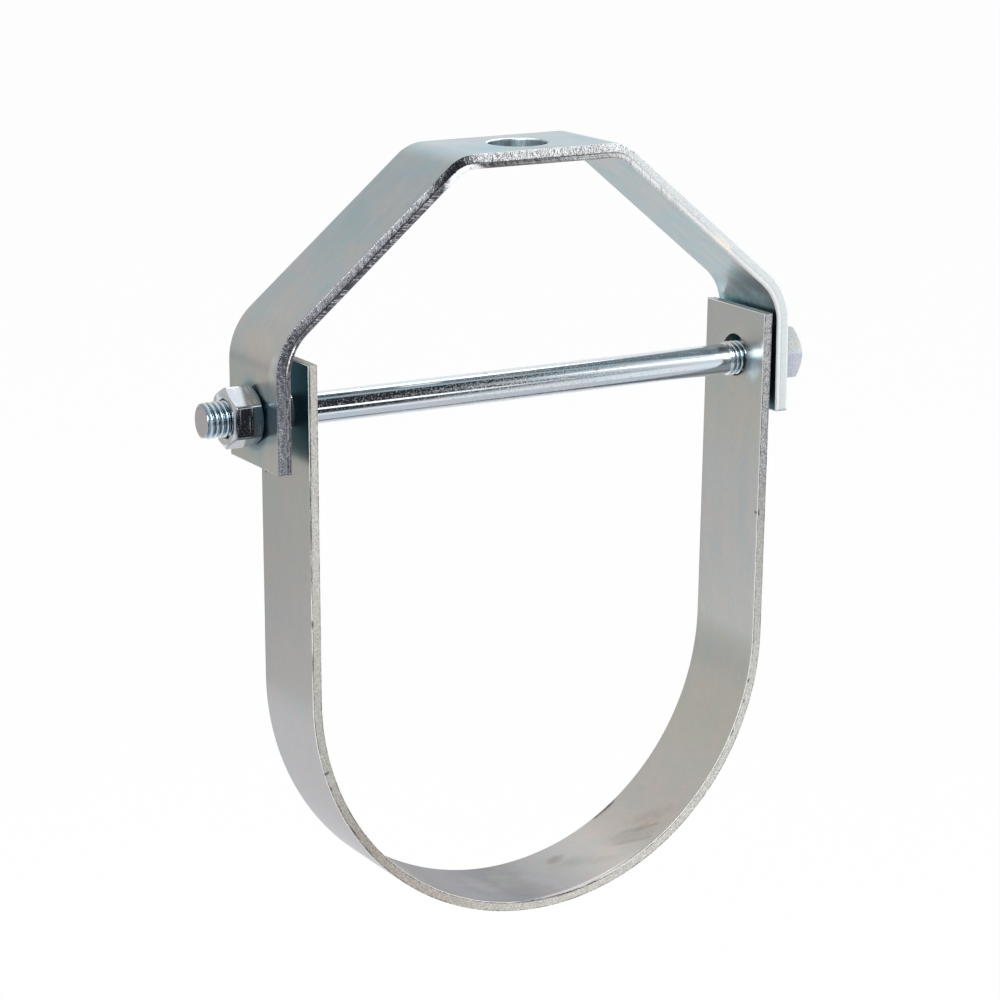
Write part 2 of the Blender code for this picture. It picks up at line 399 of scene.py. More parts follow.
# From the left foot: leg, lower bend, slanted part, upper bend and top, then the same back. Each bend takes
# its radius times the tangent of half its angle off the straights beside it
def makeYoke(finishes):
    q = yokeSize
    half = q["thick"] / 2.0
    leg = q["inside"] + half
    steep = math.pi / 2.0 - q["slant"]
    topRadius, sideRadius = q["topBend"] + half, q["sideBend"] + half
    topCorner = q["topLength"] / 2.0 - half * math.tan(q["slant"] / 2.0)
    legCorner = -half - (leg - topCorner) * math.tan(q["slant"])
    topTangent, sideTangent = topRadius * math.tan(q["slant"] / 2.0), sideRadius * math.tan(steep / 2.0)
    straight = q["legAboveRod"] + q["legBelowRod"]
    foot = legCorner - sideTangent - straight
    slanted = (leg - topCorner) / math.cos(q["slant"]) - topTangent - sideTangent
    halfWay = [(straight, 0.0), (sideRadius * steep, -steep), (slanted, 0.0),
               (topRadius * q["slant"], -q["slant"])]
    stretches = halfWay + [(2.0 * (topCorner - topTangent), 0.0)] + halfWay[::-1]
    length = sum(run for run, turn in stretches)
    sag = (q["legHole"] - 2.0 * rodHalf) / 2.0 - seatGap
    up = rodHeight - sag - foot
    legHole = (q["legHole"] / 2.0, q["legHoleRound"], q["legHoleRound"], q["legHoleMargin"])
    topHole = (q["topHole"] / 2.0, q["topHoleRound"], q["topHoleUnder"], q["topHoleMargin"])
    holes = [(up, *legHole), (length / 2.0, *topHole), (length - up, *legHole)]
    path = {"start": (-leg, foot), "heading": math.pi / 2.0, "stretches": stretches}
    return foldPlate("yoke_strap", flatPlate(length, q, holes), path, 1, finishes)


strapSize = {
    "width": 0.0381,
    "thick": 0.0035,
    "radius": 0.090,
    "drop": 0.0998,
    "tail": 0.0195,
    "hole": 0.0155,
    "holeRound": 0.0003,
    "holeMargin": 0.0045,
    "offset": 0.0011,
    "leanRight": math.radians(1.1),
    "edgeRound": 0.0003,
    "stepAlong": 0.0007,
    "stepsAcross": 24,
    "stepsThrough": 7,
    "stepsRound": 5,
    "holeRings": 5,
    "tear": 0.00004,
    "tearFrom": (0.500, 0.600),
    "seed": 11,
}


# From the left tip: leg, round bowl, and right leg, which leans out as the bowl is short of half a turn
def makeLowerStrap(finishes):
    q = strapSize
    radius = q["radius"] + q["thick"] / 2.0
    turn = math.pi - q["leanRight"]
    leftLeg = q["tail"] + q["drop"]
    rightLeg = (leftLeg - radius * math.sin(-q["leanRight"])) / math.cos(q["leanRight"])
    stretches = [(leftLeg, 0.0), (radius * turn, turn), (rightLeg, 0.0)]
    length = sum(run for run, bend in stretches)
    rise = (q["hole"] - 2.0 * rodHalf) / 2.0 - seatGap
    hole = (q["hole"] / 2.0, q["holeRound"], q["holeRound"], q["holeMargin"])
    holes = [(q["tail"] - rise, *hole), (length - q["tail"] + rise, *hole)]
    start = (q["offset"] - radius, rodHeight + q["tail"])
    path = {"start": start, "heading": -math.pi / 2.0, "stretches": stretches}
    return foldPlate("lower_strap", flatPlate(length, q, holes), path, -1, finishes)


# The root and flank of the thread are shares of half a pitch; the run out and the lead are in pitches
rodSize = {
    "shank": 0.005715,
    "left": -0.1235,
    "right": 0.1176,
    "depth": 0.00112,
    "root": 0.14,
    "flank": 0.74,
    "rounding": 0.35,
    "threaded": 0.0286,
    "runOut": 1.3,
    "runOutInside": 0.3,
    "lead": 0.8,
    "leadDrop": 0.0002,
    "endRound": 0.0003,
    "around": 84,
    "perPitch": 14,
    "finePast": 1.2,
    "shankStep": 0.0011,
    "capRings": 8,
}


def ridge(x, angle):  # 0 in the groove and 1 on the crest of a thread that climbs one pitch a turn
    return np.abs((x / pitch - angle / (2.0 * np.pi)) % 1.0 - 0.5) * 2.0


# Radius of the rod at x and angle: on the shank it is even, on an end it follows a rounded ridge
# that climbs one pitch a turn, and the ridge sinks to the shank over the last pitch and a third
def rodRadius(x, angle):
    q = rodSize
    crest = np.clip((ridge(x, angle) - q["root"]) / q["flank"], 0.0, 1.0)
    crest = smooth(crest) * q["rounding"] + crest * (1.0 - q["rounding"])
    threaded = rodHalf - q["depth"] * (1.0 - crest)
    inner = np.minimum(x - q["left"], q["right"] - x)
    past = inner - q["threaded"] + q["runOutInside"] * pitch
    rest = smooth(np.clip(past / (q["runOut"] * pitch), 0.0, 1.0))
    lead = np.clip(1.0 - inner / (q["lead"] * pitch), 0.0, 1.0)
    threaded = threaded - lead * q["leadDrop"]
    return threaded * (1.0 - rest) + q["shank"] * rest


# Rings of the rod's radius along x, closer on the threaded ends, with eased rims and flat caps
def makeRod(finishes):
    q = rodSize
    cut = q["threaded"] + q["finePast"] * pitch
    ends = np.linspace(0.0, cut, int(cut / pitch * q["perPitch"]) + 1)
    rings = int((q["right"] - q["left"] - 2 * cut) / q["shankStep"])
    middle = np.linspace(q["left"] + cut, q["right"] - cut, rings)
    x = np.concatenate([q["left"] + ends, middle[1:-1], q["right"] - ends[::-1]])[:, None]
    angle = np.linspace(0.0, 2.0 * np.pi, q["around"], endpoint=False)
    inner = np.minimum(x - q["left"], q["right"] - x)
    fall = np.clip((q["endRound"] - inner) / q["endRound"], 0.0, 1.0)
    eased = q["endRound"] * (1.0 - np.sqrt(np.clip(1.0 - fall ** 2, 0.0, 1.0)))
    radius = rodRadius(x, angle) - eased
    draw = np.linspace(1.0, 0.0, q["capRings"] + 1)[1:, None]
    radius = np.concatenate([(draw * radius[0])[::-1], radius, draw * radius[-1]])
    x = np.pad(x, ((q["capRings"], q["capRings"]), (0, 0)), "edge")
    grid = np.stack(np.broadcast_arrays(x, radius * np.cos(angle), radius * np.sin(angle)), -1)
    rows = np.arange(radius.size).reshape(radius.shape)
    local = grid.reshape(-1, 3)
    piece = makePiece("rod", local + (0.0, 0.0, rodHeight), quads(rows)[:, ::-1], finishes, local)
    closePoles(piece)
    return piece


def closePoles(piece):  # merge the points that meet at the middle of a cap
    shape = bmesh.new()
    shape.from_mesh(piece.data)
    bmesh.ops.remove_doubles(shape, verts=shape.verts, dist=1e-7)
    bmesh.ops.recalc_face_normals(shape, faces=shape.faces)
    shape.to_mesh(piece.data)
    shape.free()


nutSize = {
    "flats": 0.01905,
    "height": 0.0111,
    "face": 0.0090,
    "chamfer": math.radians(28.0),
    "bore": 0.00665,
    "ridge": 0.0002,
    "threadRows": 60,
    "mouth": 0.00735,
    "mouthDeep": 0.0007,
    "perSide": 30,
    "crowding": 1.5,
    "cornerRound": 0.020,
    "mouthSteps": (0.35, 0.7, 1.0),
    "faceSteps": (0.04, 0.5, 0.93, 1.0),
    "chamferSteps": (0.06, 0.5, 0.9, 1.0),
    "flatSteps": (0.03, 0.2, 0.5, 0.8, 0.97),
    "leftInside": -0.1044,
    "leftTurn": math.radians(30.0),
    "rightInside": 0.1062,
    "rightTurn": math.radians(-9.0),
}


# A nut as one closed loop of rows turned round X: bore, mouth, face, chamfer to the hexagon, flats
# and back. The hexagon's radius is the flat's distance over a softened largest cosine
def makeNut(name, middle, turn, finishes):
    q = nutSize
    spread = np.linspace(-1.0, 1.0, q["perSide"], endpoint=False)
    spread = np.sign(spread) * (1.0 - (1.0 - np.abs(spread)) ** q["crowding"])
    sides = np.arange(6) * np.pi / 3.0
    angle = (sides[:, None] + spread[None] * np.pi / 6.0).ravel()
    cosines = np.cos(angle[:, None] - sides[None])
    largest = q["cornerRound"] * np.log(np.exp(cosines / q["cornerRound"]).sum(axis=1))
    hexagon = q["flats"] / 2.0 / largest
    hexagon = hexagon * (q["flats"] / 2.0) / hexagon.min()
    half = q["height"] / 2.0
    fall = np.maximum(hexagon - q["face"], 0.0) * math.tan(q["chamfer"])
    thread = [(x, q["bore"] - q["ridge"] / 2.0 + q["ridge"] * ridge(x, angle))
              for x in np.linspace(-1.0, 1.0, q["threadRows"]) * (half - q["mouthDeep"])]
    side = [(half - q["mouthDeep"] * (1.0 - part), q["bore"] + (q["mouth"] - q["bore"]) * part)
            for part in q["mouthSteps"]]
    side += [(half, q["mouth"] + (q["face"] - q["mouth"]) * part) for part in q["faceSteps"]]
    side += [(half - fall * part, q["face"] + (hexagon - q["face"]) * part) for part in q["chamferSteps"]]
    flats = [((half - fall) * (1.0 - 2.0 * part), hexagon) for part in q["flatSteps"]]
    back = [(-x, radius) for x, radius in reversed(side)]
    rows = [np.stack(np.broadcast_arrays(x, radius, angle), -1)
            for x, radius in thread + side + flats + back]
    x, radius, angles = np.moveaxis(np.array(rows), -1, 0)
    local = np.stack([x, radius * np.sin(angles), radius * np.cos(angles)], -1)
    angles = angles + turn
    points = np.stack([middle + x, radius * np.sin(-angles), rodHeight + radius * np.cos(angles)], -1)
    index = np.arange(x.size).reshape(x.shape)
    faces = quads(np.concatenate([index, index[:1]]))[:, ::-1]
    return makePiece(name, points.reshape(-1, 3), faces, finishes, local.reshape(-1, 3))


def byPlace(along, look, key):  # colour, or a grey as one value, by millimetres along a strap
    stops = [(at / look["length"], shade if isinstance(shade, tuple) else (shade,) * 3)
             for at, shade in look[key]]
    return Wire.add("ShaderNodeValToRGB", {"stops": stops}, {0: along / look["length"]})


# Soft blotches with a ragged outline: (along, across, half length, half width, slant, strength, colour)
def blotch(colour, along, across, ragged, marks, mask):
    for s, y, long, wide, slant, strength, shade in marks:
        reach = ((along - s + (across - y) * slant) / long) ** 2.0 + ((across - y) / wide) ** 2.0
        mark = fade(reach + (ragged - 0.5) * 2.6, 1.6, -0.4) * mask * strength
        colour = tint(mark, colour, shade)
    return colour


yokeLook = {
    "length": 328.8,
    # The outer stops are partly painted shade: darker and bluer from the upper left slant over the top and
    # on
    "outer": [
        (0, (0.42, 0.44, 0.42)), (35, (0.43, 0.437, 0.42)), (50, (0.42, 0.435, 0.44)),
        (75, (0.39, 0.425, 0.45)), (95, (0.345, 0.405, 0.43)), (118, (0.335, 0.4, 0.435)),
        (132, (0.355, 0.415, 0.44)), (165, (0.37, 0.42, 0.42)), (300, (0.38, 0.42, 0.42)),
    ],
    "inner": [
        (0, (0.38, 0.42, 0.42)), (180, (0.35, 0.4, 0.41)), (200, (0.285, 0.355, 0.37)),
        (270, (0.3, 0.37, 0.39)), (300, (0.38, 0.42, 0.42)),
    ],
    "outerMarks": [
        (141, 11, 9, 6, 0, 0.55, (0.5, 0.43, 0.42)), (148, -8, 12, 7, 0.3, 0.85, (0.2, 0.4, 0.47)),
        (107, 8, 14, 8, 0.2, 0.4, (0.27, 0.385, 0.43)), (83, 5, 10, 7, -0.3, 0.35, (0.3, 0.4, 0.44)),
        (71, -15, 8, 1.8, 0, 0.6, (0.27, 0.43, 0.49)), (64, 0, 9, 8, 0.3, 0.25, (0.46, 0.43, 0.42)),
        (191, -2, 7, 12, -0.2, 0.85, (0.25, 0.39, 0.43)), (168, 15, 14, 3, 0, 0.35, (0.48, 0.45, 0.44)),
        (166, -15.5, 13, 3, 0, 0.75, (0.3, 0.36, 0.36)), (151, 17.5, 9, 1, 0, 0.45, (0.28, 0.23, 0.2)),
        # (34, -15.5) is a painted highlight beside the left leg's front edge
        (34, -15.5, 7, 3, 0, 0.55, (0.62, 0.66, 0.68)), (155, -12, 8, 5, 0, 0.5, (0.27, 0.37, 0.4)),
        # (10, 8) is a painted shadow below the nut, and (20, -13) painted teal shade beside it, towards the
        # front
        (10, 8, 8, 9, 0, 0.35, (0.28, 0.29, 0.29)), (20, -13, 10, 8, 0, 0.75, (0.2, 0.38, 0.45)),
    ],
    "innerMarks": [
        (226, 2, 9, 9, 0.8, 0.55, (0.37, 0.36, 0.36)), (212, -8, 5, 5, 0.5, 0.35, (0.37, 0.36, 0.36)),
        # (290.5, -2) is painted light over the shade in the right lower bend, and (282, 1) painted shade
        # beside it
        (290.5, -2, 8.5, 20, 0, 0.95, (0.6, 0.82, 0.87)), (282, 1, 5, 7, 0.7, 0.55, (0.22, 0.27, 0.28)),
        (263, -15, 1.5, 1, 0, 0.5, (0.3, 0.22, 0.18)),
    ],
    "edge": (0.84, 0.86, 0.87, 1.0),
    "roughness": 0.28,
    "drift": 0.30,
    "cloud": (0.8, 0.42),
    "rolled": 0.30,
    "gapShadeMiddle": 164.4,
    "gapShadeReach": 127.4,
    "gapShadeSide": -1.0,
    "nutSpot": 17.6,
}


strapLook = {
    "length": 525.0,
    # The stops are partly painted light and shade: outside, lighter round the lower left of the bowl;
    # inside, darkest low in the bowl left of its bottom and lighter from there up the right side
    "outer": [
        (0, (0.43, 0.435, 0.42)), (50, (0.435, 0.44, 0.425)), (75, (0.425, 0.42, 0.41)),
        (110, 0.4), (135, (0.415, 0.41, 0.415)), (165, (0.43, 0.42, 0.425)),
        (190, (0.48, 0.47, 0.475)), (205, (0.58, 0.57, 0.57)), (262, (0.46, 0.46, 0.45)),
        (525, (0.45, 0.45, 0.44)),
    ],
    "inner": [
        (0, (0.45, 0.45, 0.44)), (225, (0.3, 0.285, 0.3)), (258, (0.235, 0.22, 0.225)),
        (284, (0.4, 0.385, 0.375)), (302, (0.53, 0.505, 0.48)), (325, (0.475, 0.46, 0.44)),
        (347, (0.455, 0.455, 0.435)), (368, (0.45, 0.445, 0.405)), (390, (0.46, 0.47, 0.445)),
        (415, (0.48, 0.485, 0.48)), (440, (0.485, 0.49, 0.49)), (465, (0.49, 0.5, 0.5)),
        (485, (0.49, 0.49, 0.465)), (515, (0.455, 0.47, 0.455)),
    ],
    "outerMarks": [
        (52, 2, 10, 2, 0, 0.25, (0.46, 0.4, 0.4)), (44, 15.5, 0.5, 0.7, 0, 0.8, (0.1, 0.08, 0.08)),
    ],
    "innerMarks": [
        (259, 4, 5, 11, 0, 0.4, (0.36, 0.37, 0.32)), (284, 8, 4, 3, 0, 0.62, (0.22, 0.19, 0.16)),
        (286, 2, 7, 5, 0.5, 0.25, (0.3, 0.27, 0.24)), (291, -3, 4.5, 10, 0.9, 0.26, (0.3, 0.265, 0.23)),
        (313, -7, 6, 9, 0.8, 0.36, (0.27, 0.24, 0.205)), (323, -6, 4.5, 9, 0.8, 0.3, (0.28, 0.25, 0.215)),
        (309, -9, 1.8, 7, 0.9, 0.35, (0.27, 0.23, 0.19)), (317, -8, 1.6, 8, 0.9, 0.35, (0.27, 0.23, 0.19)),
        (247, 0, 5, 12, 0.2, 0.3, (0.4, 0.39, 0.42)), (272, -6, 4, 10, 0.4, 0.3, (0.42, 0.41, 0.43)),
        (315, 18.7, 6.5, 1.9, 0, 1, (0.04, 0.04, 0.05)), (460, -9, 24, 4, 0, 0.45, (0.4, 0.46, 0.5)),
        # (507, -12) is a painted reflection of the rod beside the right hole
        (507, -12, 7, 5, 0, 0.6, (0.72, 0.92, 0.97)), (452, -17.8, 0.6, 0.8, 0, 0.9, (0.08, 0.07, 0.07)),
    ],
    "edge": (0.74, 0.74, 0.75, 1.0),
    "roughness": 0.29,
    "drift": 0.14,
    "cloud": (0.2, 0.2),
    "rolled": 0.30,
    "gapShadeMiddle": 262.5,
    "gapShadeReach": 233.5,
    "gapShadeSide": 1.0,
    "drawnRim": 282.0,
}


# What both straps' faces share: factors of the noise along, across and through, then its detail, roughness
# and distortion; the shades that it gives; and the painted shade near the neighbouring pieces
faceLook = {
    "wander": ((0.030, 0.09, 0.24), 3.0, 0.5, 0.5),
    "ragged": ((0.22, 0.30, 0.3), 4.0, 0.6),
    "cloud": ((0.08, 0.13, 0.2), 2.5, 0.5, 0.5),
    "rolled": ((0.35, 1.6, 0.6), 4.0, 0.7),
    "drifts": [(0.36, (0.34, 0.44, 0.48)), (0.66, (0.46, 0.445, 0.43))],
    "cloudShades": [(0.84, 1.0, 1.05), (1.12, 1.0, 0.97)],
    "rolledShades": [(0.85, 0.85, 0.85), (1.15, 1.15, 1.15)],
    "gapShade": (0.15, 0.30, 0.34),
    "gapShadeBlend": 9.0,
    "nutShadeHalo": (0.20, 0.36, 0.42),
    "shadeHaloAt": (17.0, 10.0),
    "nutContactShadow": (0.04, 0.10, 0.12),
    "contactShadowAt": (13.2, 10.6),
    "drawnAlong": (60.0, 30.0),
    "drawnAcross": (-19.3, -16.6),
}


# Rolled and plated face: colour by the place along the strap on each side, partly painted shade and light,
# drifting a little cooler and warmer in long soft patches, clouded and finely streaked, with painted dark
# blue shade at both ends where the straps face each other, and blotches, some of them painted shade,
# highlight or reflection. Where asked, painted shade darkens it round the nut, and its front rim is drawn
# down
def rolledZinc(name, look):
    q = faceLook
    material, shader, place, along, across, through = startFinish(name)
    outside, inside = fade(through, -0.5, 0.5), fade(through, 0.5, -0.5)
    wander, ragged = streaks(place, *q["wander"]), streaks(place, *q["ragged"])
    cloud, rolled = streaks(place, *q["cloud"]), streaks(place, *q["rolled"])
    colour = tint(outside, byPlace(along, look, "inner"), byPlace(along, look, "outer"))
    for edge, shade in q["drifts"]:
        colour = tint(fade(wander, 0.52, edge) * look["drift"], colour, shade)
    within, without = look["cloud"]
    clouded = tint(fade(cloud, 0.38, 0.62), *q["cloudShades"])
    colour = tint(outside * (without - within) + within, colour, clouded, "MULTIPLY")
    colour = tint(look["rolled"], colour, tint(fade(rolled, 0.3, 0.7), *q["rolledShades"]), "MULTIPLY")
    # Painted shade: dark blue near both ends, on the side where the straps face each other
    far, reach, blend = positive(along - look["gapShadeMiddle"]), look["gapShadeReach"], q["gapShadeBlend"]
    gapShade = fade(far, reach - blend, reach + blend) * fade(through * look["gapShadeSide"], 0.0, 1.0)
    colour = tint(gapShade, colour, q["gapShade"])
    colour = blotch(colour, along, across, ragged, look["outerMarks"], outside)
    colour = blotch(colour, along, across, ragged, look["innerMarks"], inside)
    if "nutSpot" in look:
        off = along - look["nutSpot"]
        fromNut = (off * off + across * across) ** 0.5
        # Painted shade round the nut: a soft teal halo, then a dark ring of contact shadow
        shadeHalo = fade(fromNut + (wander - 0.5) * 8.0, *q["shadeHaloAt"]) * outside
        colour = tint(shadeHalo * 0.45, colour, q["nutShadeHalo"])
        colour = tint(fade(fromNut, *q["contactShadowAt"]) * outside * 0.55, colour, q["nutContactShadow"])
    relief = bump(grain(place, 0.4, 2.0, 0.5), 0.00003, 0.4)
    if "drawnRim" in look:
        drawn = fade(positive(along - look["drawnRim"]), *q["drawnAlong"]) * fade(through, 0.0, -1.0)
        relief = bump(fade(across, *q["drawnAcross"]) * drawn, 0.0006, 1.0, relief)
    feed(shader, Base_Color=colour, Metallic=1.0, Roughness=look["roughness"] + (wander - 0.5) * 0.06,
         Normal=relief, Specular_Tint=look["edge"])
    return material


tornLook = {
    "length": 328.8,
    # The tones along the strap are partly painted shade and light: nearly black at the two left bends, pale
    # on the right
    "ground": [
        (0, (0.2, 0.2, 0.22)), (28, (0.15, 0.15, 0.17)), (43, (0.07, 0.07, 0.08)),
        (62, (0.17, 0.17, 0.185)), (116, (0.11, 0.11, 0.12)), (124, (0.02, 0.02, 0.025)),
        (132, (0.02, 0.02, 0.025)), (139, 0.22), (184, 0.22),
        (197, (0.32, 0.32, 0.33)), (208, (0.57, 0.59, 0.6)), (296, (0.6, 0.63, 0.63)),
    ],
    "light": [
        (0, (0.36, 0.375, 0.4)), (40, (0.38, 0.39, 0.43)), (66, (0.4, 0.41, 0.44)),
        (118, (0.58, 0.59, 0.62)), (130, (0.5, 0.51, 0.54)), (141, 0.84),
        (170, 0.84), (184, 0.74), (197, (0.8, 0.81, 0.81)),
        (208, (0.71, 0.73, 0.73)), (296, (0.66, 0.69, 0.69)),
    ],
    "share": [
        (0, 0.46), (40, 0.35), (62, 0.53), (114, 0.49), (123, 0.24), (131, 0.24), (138, 0.54), (185, 0.53),
        (198, 0.6),
    ],
    "band": [
        (0, (0.46, 0.45, 0.47)), (40, (0.34, 0.33, 0.36)), (66, (0.17, 0.17, 0.185)),
        (112, (0.2, 0.195, 0.21)), (145, (0.17, 0.15, 0.14)), (164, (0.33, 0.32, 0.31)),
        (181, (0.62, 0.61, 0.59)), (200, (0.78, 0.775, 0.77)), (262, (0.72, 0.72, 0.71)),
        (312, (0.78, 0.79, 0.79)),
    ],
    "step": [
        (0, 0.1), (60, 0.12), (72, 0.15), (120, 0.45), (126, 0.34), (134, 0.26), (142, 0.1),
    ],
    "strokes": ((3.4, 1.6, 0.80), 2.0, 0.6),
    "layers": ((0.06, 1.0, 4.5), 2.0, 0.6),
    "nicks": ((1.0, 1.0, 0.25), 2.0, 0.6),
    "teeth": ((2.2, 0.5, 0.20), 1.0, 0.5),
    "slanted": (45.0, 66.0, 122.0, 140.0),
    "evenFrom": (185.0, 207.0),
    "lean": 0.9,
    "stepMiddle": 0.85,
    "stepRise": 1.9,
    "dark": (0.02, 0.02, 0.025),
    "tooth": (0.60, 0.59, 0.61),
    "innerRimPaintedDark": (0.20, 0.20, 0.21),
    "warm": (0.95, 0.84, 0.70),
    "warmAt": 252.0,
    "bulgeAndHighlight": (0.93, 0.93, 0.94),
    "upperBulge": 131.0,
    "lowerBulge": 41.0,
    "teethEnd": (240.0, 222.0),
    "grooveStart": (20.0, 50.0, 0.3),
}


# Sheared edge of the yoke: light strokes on dark ground over the outer two thirds, lightest at the outer
# corner, then a dark step with painted shade in its groove, then a smoother band of thin layers with
# slanting nicks. Ground, strokes, their share and the height of the step follow the place along the strap,
# and all grow even and pale on its right. These tones along the strap are partly painted shade and light,
# darkest at the two left bends
def tornEdge(name):
    look = tornLook
    material, shader, place, along, across, through = startFinish(name)
    slanted = span(along, *look["slanted"])
    slid = Wire.add("ShaderNodeCombineXYZ", {}, {0: along - through * slanted, 1: across, 2: through})
    leant = Wire.add("ShaderNodeCombineXYZ", {}, {0: along + through * look["lean"], 1: across, 2: through})
    strokes = streaks(slid, *look["strokes"])
    speck = grain(place, 2.7, 3.0, 0.65)
    layers = streaks(place, *look["layers"])
    nicks = streaks(slid, *look["nicks"])
    teeth = streaks(leant, *look["teeth"])
    even = fade(along, *look["evenFrom"])
    step = through + (nicks - 0.5) * 0.8 + look["stepMiddle"]
    step = step - byPlace(along, look, "step") * look["stepRise"]
    band = fade(step, 0.0, -0.3)
    groove = fade(step, 0.30 + slanted * 0.35, 0.05) * (1.0 - band)
    mixed = strokes * 0.55 + speck * 0.45
    slope = 0.012 + slanted * 0.028
    share = (byPlace(along, look, "share") - 0.5) * 0.5
    light = fade(mixed + share + (through - 0.9) * slope, 0.43, 0.58)
    colour = tint(light, byPlace(along, look, "ground"), byPlace(along, look, "light"))
    thin = fade(layers, 0.56, 0.40) * (1.0 - even) * 0.8
    layered = tint(thin, byPlace(along, look, "band"), look["dark"])
    layered = tint(fade(teeth, 0.56, 0.64) * (slanted * 0.75 + 0.15), layered, look["tooth"])
    layered = tint(fade(teeth, 0.46, 0.36) * fade(along, *look["teethEnd"]) * 0.40, layered, look["dark"])
    colour = tint(band, colour, layered)
    # Painted shade in the groove of the step, fainter on the right
    colour = tint(groove * (0.95 - even * 0.80) * fade(along, *look["grooveStart"]), colour, look["dark"])
    # Painted dark reflection on the rounded inner corner, except on the even right part
    colour = tint(fade(through, -2.15, -2.45) * (1.0 - even), colour, look["innerRimPaintedDark"])
    warm = fade(positive(along - look["warmAt"]), 7.0, 2.0) * fade(positive(through + 0.7), 1.8, 0.5)
    colour = tint(warm * 0.45, colour, look["warm"])
    # At its two left bends the smooth band bulges, which tilts its bump, and a painted highlight lightens
    # it
    lower = fade(positive(along - look["lowerBulge"]), 7.0, 2.0) * fade(positive(through + 1.25), 0.4, 0.1)
    upper = fade(positive(along - look["upperBulge"]) + (through + 2.6) * 1.8, 12.0, 7.0)
    bulgeAndHighlight = upper * band + lower * 0.55
    colour = tint(bulgeAndHighlight, colour, look["bulgeAndHighlight"])
    height = (mixed * 1.2 - groove * 0.3) * (1.0 - band)
    height = height + (layers * 0.5 + nicks * 0.3) * band * (1.0 - bulgeAndHighlight)
    height = height * (1.0 - even * 0.86) + through * bulgeAndHighlight * 1.8
    feed(shader, Base_Color=colour, Metallic=1.0, Roughness=0.20 + speck * 0.12 + even * 0.12,
         Normal=bump(height, 0.00015, 0.9))
    return material


# The marks are dark dashes by the corners, most of them deepening the painted dark reflection there:
# (along, through, half length, half width, slant, strength)
paleLook = {
    "length": 525.0,
    "cream": (0.42, 0.405, 0.365),
    "light": (0.74, 0.72, 0.66),
    "grey": (0.19, 0.19, 0.195),
    "greyLight": (0.87, 0.87, 0.88),
    "tones": [
        (0, (0.76, 0.76, 0.77)), (60, (0.88, 0.88, 0.9)), (105, 0.77),
        (147, 0.71), (178, (0.6, 0.56, 0.54)), (215, (0.77, 0.73, 0.72)),
        (252, (0.95, 0.94, 0.94)), (315, (1.03, 1.02, 1.03)), (378, (0.98, 0.99, 1.01)),
        (420, (0.77, 0.78, 0.8)), (457, (0.66, 0.67, 0.67)), (525, (0.66, 0.65, 0.65)),
    ],
    "marks": [
        (10, 1.25, 14, 0.4, 0, 1), (31, 1.3, 11, 0.35, 0, 0.95), (46, 1.75, 7, 0.55, 0, 0.95),
        (59, 1.75, 9, 0.5, 0, 0.9), (74, 1.75, 7, 0.4, 0, 0.8), (91, 1.6, 1.5, 0.55, 0, 0.9),
        (105, 1.75, 4.5, 0.45, 0, 0.8), (146, 0.7, 0.5, 1.3, 0, 0.9), (152, 1.1, 1, 0.4, 0, 0.8),
        (161, 1.2, 3, 0.3, 0, 0.75), (172, 1.1, 4, 0.4, 0, 0.8), (181, 1.2, 2.5, 0.3, 0, 0.7),
        (258, -1.65, 7, 0.45, 0, 0.85), (272, -1.65, 8, 0.55, 0, 0.95), (284, -1.65, 3.5, 0.5, 0, 0.95),
        (366, -1.2, 1.5, 0.4, 0, 0.9), (379, -0.9, 0.9, 0.4, 0, 0.8), (387, -1.1, 0.8, 0.5, 0, 0.9),
        (452, -1.2, 1.2, 0.5, 0, 0.95), (340, 1.4, 1.2, 0.3, 0, 0.8),
    ],
    "beads": ((0.9, 0.6, 0.6), 3.0, 0.7),
    "spans": ((0.09, 0.1, 0.5), 2.0, 0.5),
    "flecks": ((0.8, 1.4, 1.4), 3.0, 0.7),
    "lineAt": (1.22, 1.32, 1.48, 1.58),
    "rimAt": (1.60, 1.68),
    "dark": (0.06, 0.055, 0.06),
    "fleck": (0.16, 0.13, 0.11),
    "rim": (0.80, 0.80, 0.77),
    "greyFrom": (440.0, 480.0),
}


# Sheared edge of the lower strap: pale matt grain, bright grey grain on the upper right leg, with a beaded
# line of painted dark reflection beside each corner, a thin painted highlight on the rim, and dark marks
# over both
def paleEdge(name):
    look = paleLook
    material, shader, place, along, across, through = startFinish(name)
    speck = grain(place, 2.4, 3.0, 0.62)
    beads = streaks(place, *look["beads"])
    spans = fade(streaks(place, *look["spans"]), 0.42, 0.58)
    flecks = fade(streaks(place, *look["flecks"]), 0.66, 0.74)
    grey = fade(along, *look["greyFrom"])
    grains = fade(speck, 0.32, 0.68)
    colour = tint(grey, tint(grains, look["cream"], look["light"]),
                  tint(grains, look["grey"], look["greyLight"]))
    colour = tint(1.0, colour, byPlace(along, look, "tones"), "MULTIPLY")
    colour = tint(flecks * 0.7, colour, look["fleck"])
    corner = positive(through)
    # Painted dark reflection in a beaded line beside each corner
    line = span(corner, *look["lineAt"]) * fade(beads, 0.40, 0.54) * (spans * 0.7 + 0.3)
    colour = tint(line, colour, look["dark"])
    # Painted highlight on the thin rim of each corner
    colour = tint(fade(corner, *look["rimAt"]), colour, look["rim"])
    marks = [(*mark, look["dark"]) for mark in look["marks"]]
    colour = blotch(colour, along, through, beads, marks, 1.0)
    feed(shader, Base_Color=colour, Metallic=0.5 + grey * 0.4, Roughness=0.60 - grey * 0.25 + speck * 0.1,
         Normal=bump(speck, 0.00011, 0.7))
    return material


